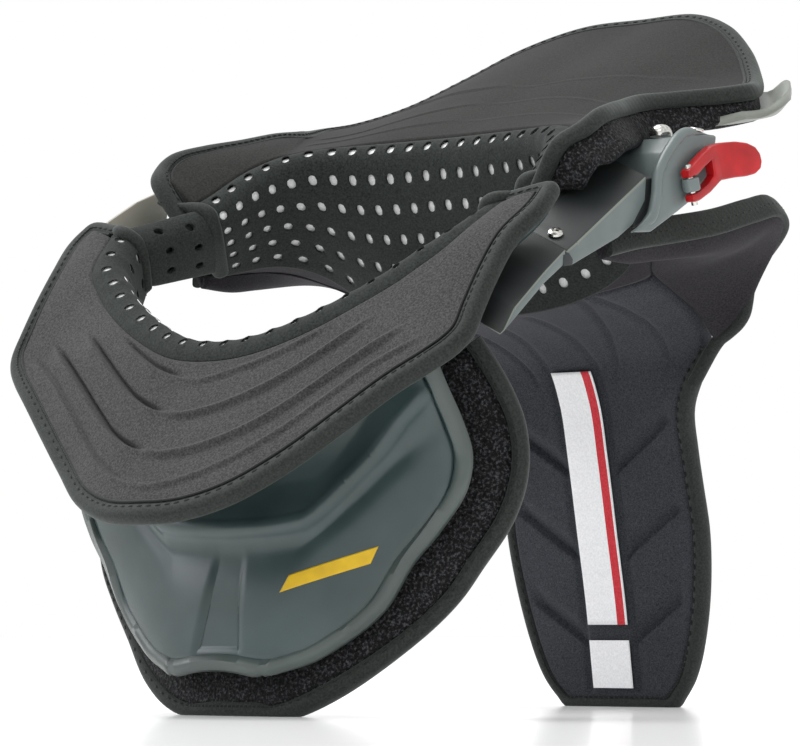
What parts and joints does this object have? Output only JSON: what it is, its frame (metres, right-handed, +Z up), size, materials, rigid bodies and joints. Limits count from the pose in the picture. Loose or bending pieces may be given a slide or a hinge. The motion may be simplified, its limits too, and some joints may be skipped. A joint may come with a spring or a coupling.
{
  "type": "karting neck brace",
  "caption": "Padded neck brace that stands on its chest and back pads: front and rear tables round a neck opening, a side clasp with a lever, a chest plate and a back strut.",
  "frame": {"origin": "middle of the bounding box on the floor plane the brace stands on", "axes": "+Z up, -Y the way the wearer faces, +X the wearer's left, which is the clasp side"},
  "size_m": [0.2602, 0.3234, 0.2972],
  "materials": {
    "plastic": "satin moulded plastic, paler at its edges",
    "fabric": "heathered warm grey knit over foam",
    "binding": "woven edge binding, stitched",
    "lining": "smooth perforated lining",
    "backing": "pale layer behind the holes",
    "loop": "black loop fabric",
    "padding": "near-black moulded fabric",
    "patch": "plain white sewn patch",
    "lever": "bright red plastic",
    "steel": "bright metal"
  },
  "bodies": {
    "brace": {"front_chassis": "plastic", "rear_chassis": "plastic", "arm_slider_left": "plastic", "hinge_arm": "plastic", "clasp_bracket": "plastic", "front_table_pad": "fabric", "rear_table_pad": "fabric", "front_table_binding": "binding", "rear_table_binding": "binding", "chest_pad_binding": "binding", "back_pad_binding": "binding", "front_neck_lining": "lining", "rear_neck_lining": "lining", "hinge_sleeve": "lining", "front_lining_backing": "backing", "rear_lining_backing": "backing", "chest_pad": "loop", "back_pad": "padding", "wing_pad_left": "padding", "wing_pad_right": "padding", "label_large": "patch", "label_small": "patch", "lever_pin": "steel", "clasp_rivet": "steel", "arm_screw": "steel"},
    "lever": {"clasp_lever": "lever"}
  },
  "joints": [
    {"name": "lever_pivot", "type": "hinge", "parent": "brace", "child": "lever", "pos_m": [0.12219, 0.0125, 0.2042], "axis": [0, 0.2971, -0.9549], "range_deg": [0, 100]}
  ]
}
